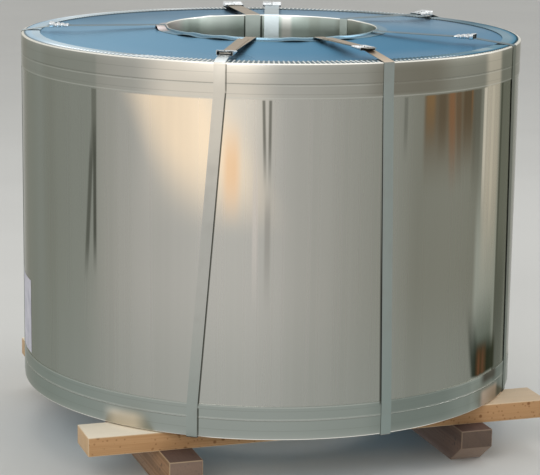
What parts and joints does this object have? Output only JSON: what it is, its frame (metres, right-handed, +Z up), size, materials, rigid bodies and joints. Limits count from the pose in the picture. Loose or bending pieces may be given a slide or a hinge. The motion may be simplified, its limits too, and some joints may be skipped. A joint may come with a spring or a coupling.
{
  "type": "steel coil",
  "caption": "Packed coil of tinned steel strip, eye upright, with blue end covers, edge rings and steel straps, on a two-layer timber skid.",
  "frame": {"origin": "on the floor, under the middle of the coil's eye", "axes": "+Z up along the coil's axis; X along the two upper skid beams; Y along the two lower runners, with the pictured side towards -Y"},
  "size_m": [1.1998, 1.2, 0.9953],
  "materials": {
    "tinned_steel": "bright",
    "edge_ring_steel": "bright",
    "strap_steel": "satin",
    "blue_cover_sheet": "gloss",
    "pine_beam": "sawn",
    "pine_runner": "sawn",
    "label_paper": "matt"
  },
  "bodies": {
    "root": {"steel_coil": "tinned_steel", "end_cover_top": "blue_cover_sheet", "end_cover_bottom": "blue_cover_sheet", "outer_edge_ring_top": "edge_ring_steel", "outer_edge_ring_bottom": "edge_ring_steel", "inner_edge_ring_top": "edge_ring_steel", "inner_edge_ring_bottom": "edge_ring_steel", "skid_beam_front": "pine_beam", "skid_beam_back": "pine_beam", "skid_runner_left": "pine_runner", "skid_runner_right": "pine_runner", "paper_label": "label_paper", "strap_left": "strap_steel", "seal_left": "strap_steel", "strap_front_left": "strap_steel", "seal_front_left": "strap_steel", "strap_front_right": "strap_steel", "seal_front_right": "strap_steel", "strap_right": "strap_steel", "seal_right": "strap_steel", "strap_back_right": "strap_steel", "seal_back_right": "strap_steel", "strap_back": "strap_steel", "seal_back": "strap_steel", "strap_back_left": "strap_steel", "seal_back_left": "strap_steel"}
  },
  "joints": []
}
